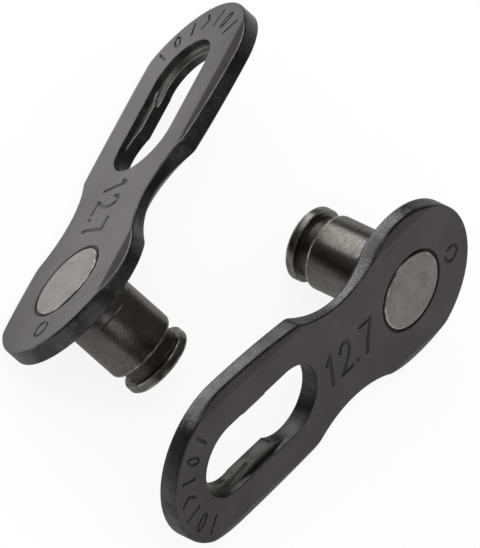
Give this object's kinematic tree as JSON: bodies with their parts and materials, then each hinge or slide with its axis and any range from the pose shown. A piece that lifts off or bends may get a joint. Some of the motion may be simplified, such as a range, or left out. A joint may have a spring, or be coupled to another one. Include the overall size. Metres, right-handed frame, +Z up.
{
  "type": "chain connecting link",
  "caption": "Quick connecting link for a roller chain: a pair of matching halves, each a keyhole plate with a grooved pin riveted into its round end.",
  "frame": {"origin": "on the floor, under the middle of the box around the pair as it lies at rest", "axes": "+Z up from the floor; +Y the way the left half's plate points from its pin to its seat, within a few degrees; +X from the left half towards the right half"},
  "size_m": [0.018, 0.0256, 0.0077],
  "materials": {
    "plate_steel": "dark grey nitrided steel, satin, with bright worn edges and sheared sides",
    "pin_steel": "ground and tumbled steel, lightly oiled, with a flat riveted end"
  },
  "bodies": {
    "root": {"left_link_plate": "plate_steel", "left_rivet_pin": "pin_steel", "right_link_plate": "plate_steel", "right_rivet_pin": "pin_steel"}
  },
  "joints": []
}
